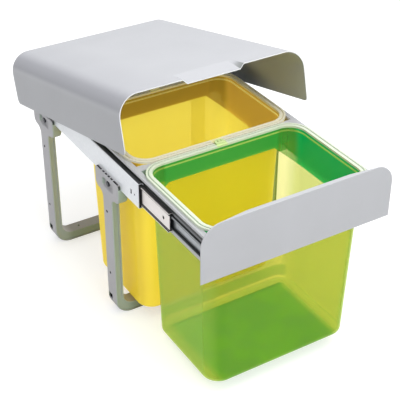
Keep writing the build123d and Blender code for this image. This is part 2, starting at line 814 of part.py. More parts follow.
# ---------------------------------------------------------------- lid
def cover_line(half, top_z, depth):
    """One face of the lid's sheet seen from the front, its middle pressed down by a depth."""
    press, run = recess_half_width, recess_half_width + recess_run
    return [
        (half, skirt_bottom_z), (half, top_z), (run, top_z), (press, top_z - depth),
        (-press, top_z - depth), (-run, top_z), (-half, top_z), (-half, skirt_bottom_z),
    ]


def cover_section(depth, y):
    """The lid's sheet at a depth y, bent at the two corners."""
    inner_top_z = cover_top_z - cover_sheet
    outer = cover_line(cover_half, cover_top_z, depth)
    inner = cover_line(skirt_inner_x, inner_top_z, depth)
    face = make_face(Polyline(*outer, *reversed(inner), close=True))
    face = fillet(corners_at(face, cover_half, cover_top_z), cover_corner)
    face = fillet(corners_at(face, skirt_inner_x, inner_top_z), cover_corner - cover_sheet)
    return Plane.XZ.offset(-y) * face


def corners_at(face, x, z):
    """The left and right corners of a flat section at (x, z)."""
    return face.vertices().filter_by(
        lambda v: abs(abs(v.X) - x) < touching and abs(v.Y - z) < touching
    )


def lid_cover():
    """Bent sheet with two skirts; the middle of its front edge is pressed down for fingers."""
    recess_end = cover_front + recess_length
    rear = extrude(cover_section(0, cover_rear), amount=cover_rear - recess_end)
    front = loft(
        [cover_section(0, recess_end), cover_section(recess_depth, cover_front)], ruled=True
    )
    side = span(cover_front, cover_rear, skirt_bottom_z, cover_top_z)
    side = fillet(side.vertices().group_by(Axis.Y)[0].sort_by(Axis.X)[0], skirt_front_corner)
    side = fillet(side.vertices().group_by(Axis.Y)[0].sort_by(Axis.X)[-1], skirt_rear_corner)
    return (rear + front) & along_x(side, -cover_half, cover_half)


def lid_ear():
    """Plate welded inside the skirt, with the hinge bore."""
    strip = span(hinge_y - ear_r, hinge_y + ear_r, hinge_z, hinge_z + ear_rise)
    strip = fillet(strip.vertices().sort_by(Axis.Y)[-2:], ear_corner)
    outline = strip + Pos(hinge_y, hinge_z) * Circle(ear_r)
    outline -= Pos(hinge_y, hinge_z) * Circle(hinge_pin_r + hinge_running_fit)
    return along_x(outline, skirt_inner_x - ear_sheet, skirt_inner_x)


def bracket_rivet_places():
    low = seat_z + slide_sheet
    return [(hinge_y + bracket_rivet_behind, low + rise) for rise in bracket_rivet_rise]


def hinge_bracket():
    """Plate on the rear of the fixed channel that carries the lid's hinge pin."""
    low = seat_z + slide_sheet
    plate = span(bracket_front, bracket_front + bracket_length, low, low + bracket_height)
    plate = fillet(plate.vertices(), bracket_corner)
    plate -= Pos(hinge_y, hinge_z) * Circle(hinge_pin_r)
    for y, z in bracket_rivet_places():
        plate -= Pos(y, z) * Circle(rivet_r)
    return along_x(plate, slide_span / 2, bracket_outer_x)


def hinge_pin():
    end_x = skirt_inner_x - hinge_pin_end_gap
    collar_x = skirt_inner_x - ear_sheet - ear_side_gap
    pin = pin_x(hinge_pin_r, slide_span / 2, end_x, hinge_y, hinge_z)
    pin = chamfer(pin.edges().group_by(Axis.X)[-1], hinge_pin_chamfer)
    return pin + pin_x(pin_collar_r, bracket_outer_x, collar_x, hinge_y, hinge_z)


def bracket_rivets():
    """Rivets through the hinge brackets and the webs of the fixed channels."""
    web_x = slide_span / 2 - slide_sheet
    rivets = []
    for y, z in bracket_rivet_places():
        rivet = pin_x(rivet_r, web_x, bracket_outer_x, y, z)
        dome = pin_x(rivet_head_r, bracket_outer_x, bracket_outer_x + bracket_rivet_head, y, z)
        rivet += chamfer(dome.edges().group_by(Axis.X)[-1], rivet_head_edge)
        rivets += [rivet, mirrored(rivet)]
    return rivets


# ---------------------------------------------------------------- moves to the shown pose
fixed = Location((0, 0, 0))


def drawn(share):
    """Forward by a share of the drawer's opening."""
    return Location((0, -share * shown_opening, 0))


raised = (
    Location((0, hinge_y, hinge_z))
    * Location((0, 0, 0), (-shown_lid_angle, 0, 0))
    * Location((0, -hinge_y, -hinge_z))
)


def pair(name, piece, place):
    """Right and left copies of a piece as two nodes."""
    return {f"right_{name}": ([piece], place), f"left_{name}": ([mirrored(piece)], place)}


def nodes():
    frame = leg_frame()
    found = {
        "front_leg_frame": ([Pos(0, -leg_spacing / 2, 0) * frame], fixed),
        "rear_leg_frame": ([Pos(0, leg_spacing / 2, 0) * frame], fixed),
        "lug_screws": (lug_screws(), fixed),
        "rear_stops": (stop_blocks(), fixed),
        "bracket_rivets": (bracket_rivets(), fixed),
        "outer_cage_balls": (balls(outer_ball_u, outer_ball_w, outer_ball_r), drawn(0.25)),
        "inner_cage_balls": (balls(inner_ball_u, inner_ball_w, inner_ball_r), drawn(0.75)),
        "front_cross_rail": ([front_cross_rail()], drawn(1)),
        "middle_cross_rail": ([middle_cross_rail()], drawn(1)),
        "rear_cross_rail": ([rear_cross_rail()], drawn(1)),
        "rail_rivets": (rail_rivets(), drawn(1)),
        "front_panel": ([front_panel()], drawn(1)),
        "panel_nuts": (panel_nuts(), drawn(1)),
        "green_bin": ([waste_bin(front_bin_y)], drawn(1)),
        "yellow_bin": ([waste_bin(rear_bin_y)], drawn(1)),
        "lid_cover": ([lid_cover()], raised),
    }
    found.update(pair("fixed_channel", fixed_channel(), fixed))
    found.update(pair("hinge_bracket", hinge_bracket(), fixed))
    found.update(pair("hinge_pin", hinge_pin(), fixed))
    found.update(pair("outer_cage", outer_cage(), drawn(0.25)))
    found.update(pair("mid_channel", mid_channel(), drawn(0.5)))
    found.update(pair("inner_cage", inner_cage(), drawn(0.75)))
    found.update(pair("inner_channel", inner_channel(), drawn(1)))
    found.update(pair("side_rail", side_rail(), drawn(1)))
    found.update(pair("lid_ear", lid_ear(), raised))
    return found


def main():
    os.makedirs("parts", exist_ok=True)
    for name, (pieces, place) in nodes().items():
        solids = [s for piece in pieces for s in piece.solids()]
        placed = [to_origin * place * s for s in solids]
        shape = placed[0] if len(placed) == 1 else Compound(children=placed)
        export_step(shape, f"parts/{name}.step")


main()
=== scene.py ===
import json
import math

import bmesh
import bpy
from mathutils import Matrix, Vector

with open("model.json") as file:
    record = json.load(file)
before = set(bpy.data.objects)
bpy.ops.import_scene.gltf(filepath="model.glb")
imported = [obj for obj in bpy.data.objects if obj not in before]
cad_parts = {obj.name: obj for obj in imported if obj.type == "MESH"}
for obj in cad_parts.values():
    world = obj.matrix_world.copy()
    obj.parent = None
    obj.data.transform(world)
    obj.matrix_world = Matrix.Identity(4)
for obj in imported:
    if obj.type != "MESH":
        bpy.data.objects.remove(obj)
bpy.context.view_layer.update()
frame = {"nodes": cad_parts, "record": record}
nodes = frame["nodes"]

# ---------------------------------------------------------------- camera
CAMERA_PLACE = (-0.7926, -1.4320, 1.1914)
CAMERA_YAW = 31.5526         # degrees to the right of straight ahead
CAMERA_PITCH = 33.6365       # degrees below the horizon
CAMERA_ROLL = 0.193
CAMERA_SENSOR = 36.0         # width in mm
CAMERA_LENS = 94.25


def set_camera():
    """The camera at the photograph's viewing angle."""
    data = bpy.data.cameras.new("camera")
    data.lens = CAMERA_LENS
    data.sensor_fit = "HORIZONTAL"
    data.sensor_width = CAMERA_SENSOR
    data.clip_start = 0.05
    data.clip_end = 60.0
    camera = bpy.data.objects.new("camera", data)
    bpy.context.scene.collection.objects.link(camera)
    turn = Matrix.Rotation(math.radians(-CAMERA_YAW), 4, "Z")
    tilt = Matrix.Rotation(math.radians(90.0 - CAMERA_PITCH), 4, "X")
    roll = Matrix.Rotation(math.radians(CAMERA_ROLL), 4, "Z")
    camera.matrix_world = Matrix.Translation(CAMERA_PLACE) @ turn @ tilt @ roll
    bpy.context.scene.camera = camera


# ---------------------------------------------------------------- shader helpers
MM_PER_M = 1000.0
BLACK = (0.0, 0.0, 0.0)
WHITE = (1.0, 1.0, 1.0)


def opaque(colour):
    """A colour of three numbers gets its fourth. A linked one stays as it is."""
    return colour if isinstance(colour, Wire) else (*colour, 1.0)


def linear(red, green, blue):
    """A colour given as it looks, from 0 to 255, as the shaders take it."""
    return tuple(
        c / 12.92 if c <= 0.04045 else ((c + 0.055) / 1.055) ** 2.4
        for c in (red / 255.0, green / 255.0, blue / 255.0)
    )


class Wire:
    """A socket's value on its way through a node tree. Arithmetic on it adds Math nodes."""

    def __init__(self, tree, socket):
        self.tree = tree
        self.socket = socket

    def __add__(self, other):
        return self.tree.math("ADD", self, other)

    def __radd__(self, other):
        return self.tree.math("ADD", other, self)

    def __sub__(self, other):
        return self.tree.math("SUBTRACT", self, other)

    def __rsub__(self, other):
        return self.tree.math("SUBTRACT", other, self)

    def __mul__(self, other):
        return self.tree.math("MULTIPLY", self, other)

    def __rmul__(self, other):
        return self.tree.math("MULTIPLY", other, self)


class NodeTree:
    """A node tree, and short ways to add to it."""

    def __init__(self, tree):
        self.tree = tree
        self.tree.nodes.clear()

    def add(self, kind, settings=None, sockets=None, out=0):
        """Adds one node: its settings first, then values or links for its sockets."""
        node = self.tree.nodes.new("ShaderNode" + kind)
        for key, value in (settings or {}).items():
            setattr(node, key, value)
        for key, value in (sockets or {}).items():
            if isinstance(value, Wire):
                self.tree.links.new(value.socket, node.inputs[key])
            else:
                node.inputs[key].default_value = value
        return Wire(self, node.outputs[out]) if node.outputs else None

    def math(self, operation, *values):
        return self.add("Math", {"operation": operation}, dict(enumerate(values)))

    def size_of(self, value):
        return self.math("ABSOLUTE", value)

    def sign_of(self, value):
        return self.math("SIGN", value)

    def most(self, first, second):
        return self.math("MAXIMUM", first, second)

    def least(self, first, second):
        return self.math("MINIMUM", first, second)

    def step(self, value, low, high):
        """A smooth rise from 0 to 1 while value goes from low to high, up or down."""
        sockets = {0: value, 1: low, 2: high}
        return self.add("MapRange", {"interpolation_type": "SMOOTHSTEP"}, sockets)

    def slope(self, value, low, high, first=0.0, last=1.0):
        """A straight change from first to last while value goes from low to high."""
        return self.add("MapRange", {}, {0: value, 1: low, 2: high, 3: first, 4: last})

    def band(self, value, low, high, soft):
        """One between low and high and nothing outside, over soft edges."""
        return self.step(value, low - soft, low) * self.step(value, high + soft, high)

    def blend(self, factor, first, second):
        """Mixes two colours."""
        sockets = {0: factor, 6: opaque(first), 7: opaque(second)}
        return self.add("Mix", {"data_type": "RGBA"}, sockets, 2)

    def plain(self, kind, colour, **sockets):
        """A shader with one colour all over."""
        return self.add(kind, {}, {"Color": opaque(colour), **sockets})

    def mixed(self, factor, first, second):
        """Mixes two shaders."""
        return self.add("MixShader", {}, {0: factor, 1: first, 2: second})

    def seen(self):
        """One for rays that show: from the camera, off a gloss or through glass."""
        rays = self.add("LightPath", {}, {}, "Is Camera Ray")
        outputs = rays.socket.node.outputs
        for kind in ("Is Glossy Ray", "Is Transmission Ray"):
            rays = rays + Wire(self, outputs[kind])
        return self.step(rays, 0.4, 0.6)


class Finish(NodeTree):
    """The node tree of a material. It reads the place on the part at rest, in millimetres."""

    def __init__(self, name):
        self.material = bpy.data.materials.new(name)
        self.material.use_nodes = True
        super().__init__(self.material.node_tree)
        self.place = self.add("TexCoord", out="Object")
        self.look = None

    def axis(self, letter):
        """The place along one axis."""
        return self.add("SeparateXYZ", {}, {0: self.place}, letter.upper()) * MM_PER_M

    def facing(self, letter):
        """How far a surface looks along one axis, from -1 to 1."""
        if self.look is None:
            self.look = self.add("TexCoord", out="Normal")
        return self.add("SeparateXYZ", {}, {0: self.look}, letter.upper())

    def across(self):
        """The distance from the middle plane of the unit."""
        return self.size_of(self.axis("x"))

    def outward(self):
        """How far a surface looks away from the middle plane, from -1 to 1."""
        return self.facing("x") * self.sign_of(self.axis("x"))

    def stretched(self, scale):
        """The place, scaled apart along each axis."""
        return self.add("VectorMath", {"operation": "MULTIPLY"}, {0: self.place, 1: scale})

    def noise(self, size, detail, roughness, place=None):
        """Cloudy variation from 0 to 1 with features of a size."""
        sockets = {"Vector": place or self.place, "Scale": MM_PER_M / size}
        return self.add("TexNoise", {}, {**sockets, "Detail": detail, "Roughness": roughness})

    def cells(self, size):
        """Cells of a size with a random value from 0 to 1 in each."""
        sockets = {"Vector": self.place, "Scale": MM_PER_M / size}
        return self.add("SeparateColor", {}, {0: self.add("TexVoronoi", {}, sockets, "Color")})

    def bump(self, height, depth, strength):
        """Relief of a depth where height runs from 0 to 1."""
        sockets = {"Height": height, "Distance": depth / MM_PER_M, "Strength": strength}
        return self.add("Bump", {}, sockets)

    def shader(self, **sockets):
        """A Principled shader; underscores in the names stand for spaces."""
        named = {key.replace("_", " "): value for key, value in sockets.items()}
        for key in named:
            if key.endswith("Color"):
                named[key] = opaque(named[key])
        return self.add("BsdfPrincipled", {}, named)

    def close(self, surface):
        """The material, with this shader as its surface."""
        self.add("OutputMaterial", {}, {"Surface": surface})
        return self.material


# ---------------------------------------------------------------- places on the part
# All in millimetres, where the part is at rest: X counts from the middle plane and Z from the
# cabinet's floor. The pairs that step takes begin where a mask is 0 and end where it is 1.
FRAMES_MIDDLE_Y = 3.5        # halfway between the leg frames
FRAME_REACH = 125.0          # from there to the middle of either
FOOT_Z = (34.0, 6.0)
HOLLOW_X = (156.8, 165.3)    # ribbed hollow at the back of a leg; its Y is from the leg's middle
HOLLOW_Y = (-10.4, -9.8)
HOLLOW_Z = (252.0, 244.0)
POCKETS_X = (163.2, 166.6)   # pockets in a leg's head
POCKETS_Z = (277.0, 283.0)
DISH_X = (167.6, 166.2)      # dish round the lug screw
DISH_Y = (26.0, 24.0)
DISH_Z = (258.0, 276.0)
CROSSBAR_X = (150.0, 128.0)
CROSSBAR_Z = (26.0, 21.0)
SIDE_HOLE_Z = (84.0, 212.0)
SIDE_HOLE_Y = 3.0            # from the leg's middle
SIDE_HOLE_AREA = (8.0, 6.0)  # squares of the distances from a hole's middle

SLIDE_Z = 296.5              # middle of the slides
# Painted shade on the rails' outer web under their flange.
RAIL_SHADE_X = (148.8, 150.2)
RAIL_SHADE_Z = (312.0, 330.0)

# Painted shade darkens the lid's top towards its left edge.
LEFT_SHADE_X = (-60.0, -166.0)     # the lid's top darkens towards its left edge
SKIRT_SHADE_Y = (-120.0, -20.0)
SKIRT_SHADE_Z = (372.0, 345.0)

FRONT_BIN_Y = -308.55        # middles of the bins, from which the next ones with Y count
REAR_BIN_Y = -89.55
BASE_Z = 27.0                # top of a bin's floor
LEDGE_Z = 327.0              # step in its walls below the rim
RIM_Z = 332.6                # underside of its rim
GROOVE_Z = 334.3             # floor of the groove in its rim
# The COLLAR places bound the band of the walls along the rails, where shade is painted.
COLLAR_X = (102.0, 139.2)    # the collar's lower edge sinks from the cross rails
COLLAR_Z = (299.0, 266.0)    # to the side rails
COLLAR_CORNER_X = (112.0, 135.0)
COLLAR_SIDE_X = (133.0, 140.0)
COLLAR_REAR_Y = (60.0, 88.0)
RIM_LIP_X = (147.0, 149.0)
RIM_LIP_Y = (103.0, 105.0)
FLAT_X = (124.0, 104.0)      # flat of the base
FLAT_Y = (-84.0, 68.0)
FLAT_LINE_X = (116.0, 108.0)
FLAT_LINE_Y = (71.6, 73.8)
REAR_WALL_Y = (76.0, 86.0)
REAR_FOOT_Z = (36.0, 52.0)
FRONT_WALL_Y = (-76.0, -86.0)
FRONT_FACE_Y = (-40.0, -70.0)
SIDE_WALL_X = (110.0, 124.0)
TAB_X = (10.5, 9.5)
TAB_Z = (333.0, 333.6)


# ---------------------------------------------------------------- finishes
LEG_TONES = (linear(177, 176, 180), linear(188, 187, 190))
LEG_SCUFFED = linear(152, 149, 150)
# Painted shade under the bins, tinted yellow, and in the screw dishes; a painted green bounce on
# the front faces; painted shade in the hollows.
LEG_SHADE_UNDER_BINS = linear(104, 98, 62)
LEG_DISH_SHADE = linear(70, 70, 72)
LEG_FRONT_BOUNCE = linear(160, 196, 160)
LEG_SHADE = linear(22, 22, 24)
# Painted shade on the slides.
PAINTED_SLIDE_SHADE = linear(24, 26, 28)
# Painted shade on the rails above the slides.
PAINTED_RAIL_SHADE = linear(24, 30, 28)
BALL_TONES = (linear(176, 178, 184), linear(212, 213, 216))
RUBBER_TONES = (linear(38, 38, 40), linear(56, 56, 58))
RAIL_TONES = (linear(172, 173, 176), linear(186, 187, 190))
PANEL_TONES = (linear(170, 171, 174), linear(182, 183, 187))
COVER_TONES = (linear(179, 180, 184), linear(188, 189, 193))
# Painted shade on the lid's bends, sides and left of its top, a painted reflection of the bins and
# painted shade inside its skirts, and a painted highlight on its front faces.
COVER_BEND_SHADE = linear(136, 136, 144)
COVER_SIDE_SHADE = linear(120, 121, 124)
COVER_LEFT_SHADE = linear(122, 122, 136)
COVER_BIN_BOUNCE = linear(86, 104, 40)
COVER_SHADE = linear(30, 38, 42)
FRONT_EDGE_HIGHLIGHT = linear(236, 237, 239)
PAINT_FLAKE = linear(238, 239, 242)

# Tones of the bins. The collar_shade, base and groove tones are painted shade; the ledge one is a
# painted highlight, also laid on paler faces as painted light; the rim one is partly one.
GREEN_TONES = {
    "body": linear(120, 200, 80), "light_body": linear(150, 214, 88),
    "end_collar_shade": linear(80, 198, 86), "side_collar_shade": linear(0, 222, 136),
    "rear_collar_shade": linear(80, 198, 86),
    "ledge": linear(205, 232, 120), "rim": linear(216, 224, 204), "groove": linear(0, 96, 52),
    "base": linear(70, 196, 84), "base_spots": linear(30, 178, 112),
    "glow": (0.42, 0.72, 0.20), "clear": (0.97, 0.91, 0.57),
    "clear_rear": (0.99, 0.94, 0.64), "clear_front": (0.94, 0.88, 0.53),
}
YELLOW_TONES = {
    "body": linear(250, 234, 92), "light_body": linear(253, 241, 112),
    "end_collar_shade": linear(250, 232, 90), "side_collar_shade": linear(224, 194, 92),
    "rear_collar_shade": linear(200, 172, 70),
    "ledge": linear(252, 244, 160), "rim": linear(230, 226, 206), "groove": linear(176, 156, 70),
    "base": linear(240, 206, 66), "base_spots": linear(232, 196, 60),
    "glow": (0.98, 0.89, 0.22), "clear": (0.99, 0.94, 0.48),
}


def moulded_leg():
    """Grey glass-filled plastic with a fine spark-eroded grain and faint flow marks. The ribbed
    hollow at the back, the pockets in the heads and the side holes get painted shade, the
    screw dishes a lighter painted shade, the crossbars a painted shade under the bins, tinted
    yellow, and the faces that look forward a painted green bounce from the bins."""
    f = Finish("leg_plastic")
    flow = f.noise(38.0, 3.0, 0.55, f.stretched((1.0, 1.0, 0.35)))
    grain = f.noise(0.7, 3.0, 0.65)
    scuff = f.step(f.noise(4.5, 4.0, 0.7), 0.62, 0.78)
    height = f.axis("z")
    across = f.across()
    along = f.axis("y") - FRAMES_MIDDLE_Y
    behind = along - f.sign_of(along) * FRAME_REACH

    foot = f.step(height, *FOOT_Z)
    hollow = f.band(across, *HOLLOW_X, soft=0.5)
    hollow = hollow * f.step(behind, *HOLLOW_Y) * f.step(height, *HOLLOW_Z)
    pockets = f.band(across, *POCKETS_X, soft=0.3) * f.band(height, *POCKETS_Z, soft=0.8)
    dish_shade = f.step(across, *DISH_X) * f.band(height, *DISH_Z, soft=1.0)
    dish_shade = dish_shade * f.step(f.size_of(behind), *DISH_Y) * f.step(f.outward(), 0.0, 0.3)
    crossbar_shade = f.step(across, *CROSSBAR_X) * f.step(height, *CROSSBAR_Z)
    front_bounce = f.step(f.facing("y"), -0.4, -0.9)
    low, high = SIDE_HOLE_Z
    rise = f.size_of(f.size_of(height - (low + high) / 2) - (high - low) / 2)
    back = behind - SIDE_HOLE_Y
    hole = f.step(back * back + rise * rise, *SIDE_HOLE_AREA) * f.step(f.outward(), -0.5, 0.0)
    shade = f.most(f.most(hollow, pockets), hole)

    tone = f.blend(flow, *LEG_TONES)
    tone = f.blend(scuff * 0.18 + foot * 0.10, tone, LEG_SCUFFED)
    # Painted shade on the crossbars under the bins, tinted yellow.
    tone = f.blend(crossbar_shade * 0.55, tone, LEG_SHADE_UNDER_BINS)
    # Painted shade in the screw dishes.
    tone = f.blend(dish_shade * 0.22, tone, LEG_DISH_SHADE)
    # A painted green bounce from the bins on the faces that look forward.
    tone = f.blend(front_bounce * 0.35, tone, LEG_FRONT_BOUNCE)
    tone = f.blend(shade * 0.92, tone, LEG_SHADE)
    return f.close(f.shader(
        Base_Color=tone, Roughness=0.50 + grain * 0.12 - scuff * 0.10,
        Normal=f.bump(grain, 0.05, 0.55), Specular_IOR_Level=0.42,
    ))


def plated_steel(name, tones, roughness, metallic, face_x, race=None, front_y=None):
    """Zinc-plated strip: drawn lines along its length and a faint crystal bloom. Painted shade,
    dark and less metallic, lies on every face that looks inwards and on the flanges behind the
    outer face at face_x, in the race, a pair of distances from the slide's middle height, and
    where the strip comes out of the next one at front_y."""
    f = Finish(name)
    drawn = f.noise(0.9, 4.0, 0.7, f.stretched((1.0, 0.02, 1.0)))
    bloom = f.cells(5.0)
    dull = f.noise(55.0, 3.0, 0.6)
    tone = f.blend(drawn * 0.55 + bloom * 0.25 + dull * 0.20, *tones)

    rise = f.axis("z") - SLIDE_Z
    away = f.least(f.outward(), f.facing("z") * f.sign_of(rise))
    flange = f.step(f.across(), face_x, face_x - 1.0) * f.step(f.outward(), 0.6, 0.3)
    flange = flange * f.step(f.size_of(f.facing("y")), 0.7, 0.5)
    # Painted shade, darker and less metallic: inward faces, flanges behind the outer face, the
    # race and the end that lies in the next strip.
    painted_shade = f.most(f.step(away, -0.35, -0.75), flange)
    if race:
        painted_shade = f.most(painted_shade, f.band(f.size_of(rise), *race, soft=0.5))
    if front_y:
        painted_shade = f.most(painted_shade, f.step(f.axis("y"), front_y - 3.5, front_y - 2.5))
    painted_shade = painted_shade * (0.86 + dull * 0.12)
    return f.close(f.shader(
        Base_Color=f.blend(painted_shade, tone, PAINTED_SLIDE_SHADE), Metallic=metallic * (1.0 - painted_shade * 0.8),
        Roughness=roughness + drawn * 0.10 + dull * 0.08, Normal=f.bump(drawn, 0.02, 0.5),
    ))


def polished_ball():
    """Hardened bearing balls with a greasy film."""
    f = Finish("ball_steel")
    film = f.noise(1.2, 3.0, 0.6)
    tone = f.blend(film, *BALL_TONES)
    return f.close(f.shader(Base_Color=tone, Metallic=1.0, Roughness=0.06 + film * 0.14))


def plated_fastener(name, tones):
    """Screws, rivets, nuts and pins: zinc with fine turning marks."""
    f = Finish(name)
    turned = f.noise(0.35, 3.0, 0.6)
    patina = f.noise(6.0, 3.0, 0.6)
    return f.close(f.shader(
        Base_Color=f.blend(patina * 0.6 + turned * 0.4, *tones), Metallic=0.95,
        Roughness=0.24 + patina * 0.16, Normal=f.bump(turned, 0.015, 0.6),
    ))


def coat(f, tone, roughness, metallic):
    """Silver powder coat over a tone: orange peel and fine metal flakes."""
    peel = f.noise(1.6, 2.0, 0.5)
    flake = f.cells(0.22)
    return f.close(f.shader(
        Base_Color=f.blend(flake * 0.10, tone, PAINT_FLAKE), Metallic=metallic,
        Roughness=roughness + peel * 0.08 + flake * 0.05, Normal=f.bump(peel, 0.035, 0.45),
    ))


def rail_paint():
    """Silver paint of the drawer frame, with painted shade on its outer web above the slides."""
    f = Finish("frame_paint")
    tone = f.blend(f.noise(90.0, 3.0, 0.55), *RAIL_TONES)
    # Painted shade on the outer web under the flange.
    painted_shade = f.band(f.axis("z"), *RAIL_SHADE_Z, soft=0.8) * f.step(f.outward(), 0.3, 0.8)
    painted_shade = painted_shade * f.band(f.across(), *RAIL_SHADE_X, soft=0.5)
    return coat(f, f.blend(painted_shade * 0.9, tone, PAINTED_RAIL_SHADE), 0.42, 0.10)


def panel_paint():
    """Silver paint of the front panel."""
    f = Finish("panel_paint")
    return coat(f, f.blend(f.noise(110.0, 3.0, 0.55), *PANEL_TONES), 0.48, 0.08)


def cover_paint():
    """Silver paint of the lid, with painted shade on its bends, on its side skirts and towards
    the left of its top, a painted highlight on the faces that look forward, mainly its cut
    edges at the front, and inside its skirts a painted reflection of the bins, with painted
    shade low down towards the back."""
    f = Finish("cover_paint")
    lean = f.facing("z")
    bend = f.band(lean, 0.45, 0.74, 0.26)
    side = f.step(lean, 0.7, 0.0) * f.step(f.outward(), 0.4, 0.8)
    left_shade = f.slope(f.axis("x"), *LEFT_SHADE_X) * f.step(lean, 0.7, 0.95)
    within = f.step(f.outward(), -0.3, -0.8)
    shade = within * f.step(f.axis("y"), *SKIRT_SHADE_Y) * f.step(f.axis("z"), *SKIRT_SHADE_Z)
    edge = f.step(f.facing("y"), -0.75, -0.95)

    tone = f.blend(f.noise(90.0, 3.0, 0.55), *COVER_TONES)
    # Painted shade on the bends.
    tone = f.blend(bend * 0.68, tone, COVER_BEND_SHADE)
    # Painted shade on the side skirts.
    tone = f.blend(side * 0.18, tone, COVER_SIDE_SHADE)
    # Painted shade towards the left of the top.
    tone = f.blend(left_shade * 0.20, tone, COVER_LEFT_SHADE)
    # A painted reflection of the bins inside the skirts.
    tone = f.blend(within * 0.30, tone, COVER_BIN_BOUNCE)
    tone = f.blend(shade * 0.7, tone, COVER_SHADE)
    # A painted highlight on the faces that look forward, mainly the cut edges at the front.
    tone = f.blend(edge * 0.8, tone, FRONT_EDGE_HIGHLIGHT)
    return coat(f, tone, 0.50, 0.05)


def stop_rubber():
    """Black rubber with a matt mould skin."""
    f = Finish("stop_rubber")
    skin = f.noise(0.6, 3.0, 0.6)
    return f.close(f.shader(
        Base_Color=f.blend(skin, *RUBBER_TONES), Roughness=0.72 + skin * 0.15,
        Normal=f.bump(skin, 0.06, 0.5),
    ))


def bin_plastic(name, middle_y, tones, see_through, glow_share, light, paleness):
    """Translucent polypropylene: a tinted view through it, light that scatters through it, a soft
    gloss and a painted glow of the tone with strength light. The rim is paler, partly as a
    painted highlight, and a painted highlight runs along the ledge. The band of the walls
    along the rails, the flat of the base and the rear wall's foot get painted shade and let
    less through, and the groove in the rim and the base's far line get painted shade. The
    inner faces on the right, which look to the left, are painted paler by paleness, as
    painted light, as are the outer ones on the left."""
    f = Finish(name)
    flow = f.noise(60.0, 3.0, 0.55, f.stretched((1.0, 1.0, 0.3)))
    skin = f.noise(1.1, 2.0, 0.5)
    scratch = f.step(f.noise(7.0, 5.0, 0.75, f.stretched((1.0, 1.0, 0.15))), 0.66, 0.80)
    spots = f.step(f.noise(70.0, 2.0, 0.5), 0.38, 0.62)
    height = f.axis("z")
    across = f.across()
    along = f.axis("y") - middle_y

    # Painted shade: the band of the walls along the rails is darker and lets less through.
    collar_shade = f.step(height - f.slope(across, *COLLAR_X, *COLLAR_Z), -0.8, 0.8)
    corner = f.band(across, *COLLAR_CORNER_X, soft=7.0)
    beside = f.step(across, *COLLAR_SIDE_X)
    rear = f.step(along, *COLLAR_REAR_Y)
    # The rim and its lip are paler, partly as a painted highlight.
    lip = f.most(f.step(across, *RIM_LIP_X), f.step(f.size_of(along), *RIM_LIP_Y))
    lip = lip * f.step(height, RIM_Z - 3.2, RIM_Z - 2.4)
    rim = f.most(f.step(height, RIM_Z - 1.0, RIM_Z), lip)
    # Painted shade in the groove of the rim.
    groove = f.band(height, GROOVE_Z - 0.3, GROOVE_Z + 0.4, 0.3) * f.step(f.facing("z"), 0.4, 0.8)
    # A painted highlight along the ledge below the rim.
    ledge = f.band(height, LEDGE_Z - 0.4, LEDGE_Z + 1.2, 0.4) * 0.9
    tab = f.step(across, *TAB_X) * f.step(height, *TAB_Z)
    # Painted shade: the flat of the base, its far line and the rear wall's foot are darker and let
    # less through.
    floor = f.step(height, BASE_Z + 1.5, BASE_Z)
    flat = floor * f.step(across, *FLAT_X) * f.band(along, *FLAT_Y, soft=12.0)
    line = floor * f.step(across, *FLAT_LINE_X) * f.band(along, *FLAT_LINE_Y, soft=0.6)
    rear_wall = f.step(along, *REAR_WALL_Y)
    foot = rear_wall * f.band(height, *REAR_FOOT_Z, soft=6.0)
    front = f.step(f.facing("y"), -0.4, -0.9) * f.step(along, *FRONT_FACE_Y)
    # Painted light: faces that look to the left are paler by paleness.
    pale = f.step(f.facing("x"), -0.4, -0.9) * f.step(across, *SIDE_WALL_X) * paleness

    tone = f.blend(flow, tones["body"], tones["light_body"])
    tone = f.blend(pale, tone, tones["ledge"])
    end = f.blend(rear, tones["end_collar_shade"], tones["rear_collar_shade"])
    tone = f.blend(collar_shade, tone, f.blend(beside, end, tones["side_collar_shade"]))
    tone = f.blend(flat, tone, f.blend(spots, tones["base"], tones["base_spots"]))
    tone = f.blend(foot * 0.6, tone, tones["base"])
    tone = f.blend(line * 0.8, tone, tones["groove"])
    tone = f.blend(ledge, tone, tones["ledge"])
    tone = f.blend(rim, tone, tones["rim"])
    tone = f.blend(groove * 0.45, tone, tones["groove"])
    tone = f.blend(tab * 0.55, tone, tones["ledge"])

    # The tone is also given off as a painted glow, most by the front wall and by the
    # painted shade band beside the rails.
    most_glow = 4.0
    painted_glow = (1.0 - rim) * (1.0 - flat * 0.8) * (1.0 + front * 2.0 + beside * collar_shade)
    surface = f.shader(
        Base_Color=tone, Roughness=0.26 + skin * 0.08 + scratch * 0.14,
        Normal=f.bump(skin, 0.03, 0.4), Specular_IOR_Level=0.5,
        Emission_Color=f.blend(painted_glow * (1.0 / most_glow), BLACK, tone),
        Emission_Strength=light * most_glow,
    )
    # A shader that scatters or lets through has one colour all over, so its tones are laid
    # over one another as shaders.
    scattered = f.plain("BsdfTranslucent", tones["glow"])
    for share, colour in (
        (collar_shade, "end_collar_shade"), (collar_shade * rear, "rear_collar_shade"), (collar_shade * beside, "side_collar_shade"),
        (flat * (0.5 + flat * 0.5), "base"), (f.most(ledge, rim), "ledge"),
        (f.most(flat * flat * spots, line * 0.7), "base_spots"),
    ):
        scattered = f.mixed(share, scattered, f.plain("BsdfTranslucent", tones[colour]))
    through = f.plain("BsdfTransparent", tones["clear"])
    for wall, colour in ((rear_wall, "clear_rear"), (f.step(along, *FRONT_WALL_Y), "clear_front")):
        if colour in tones:
            other = f.plain("BsdfTransparent", tones[colour])
            through = f.mixed(wall * (1.0 - collar_shade), through, other)

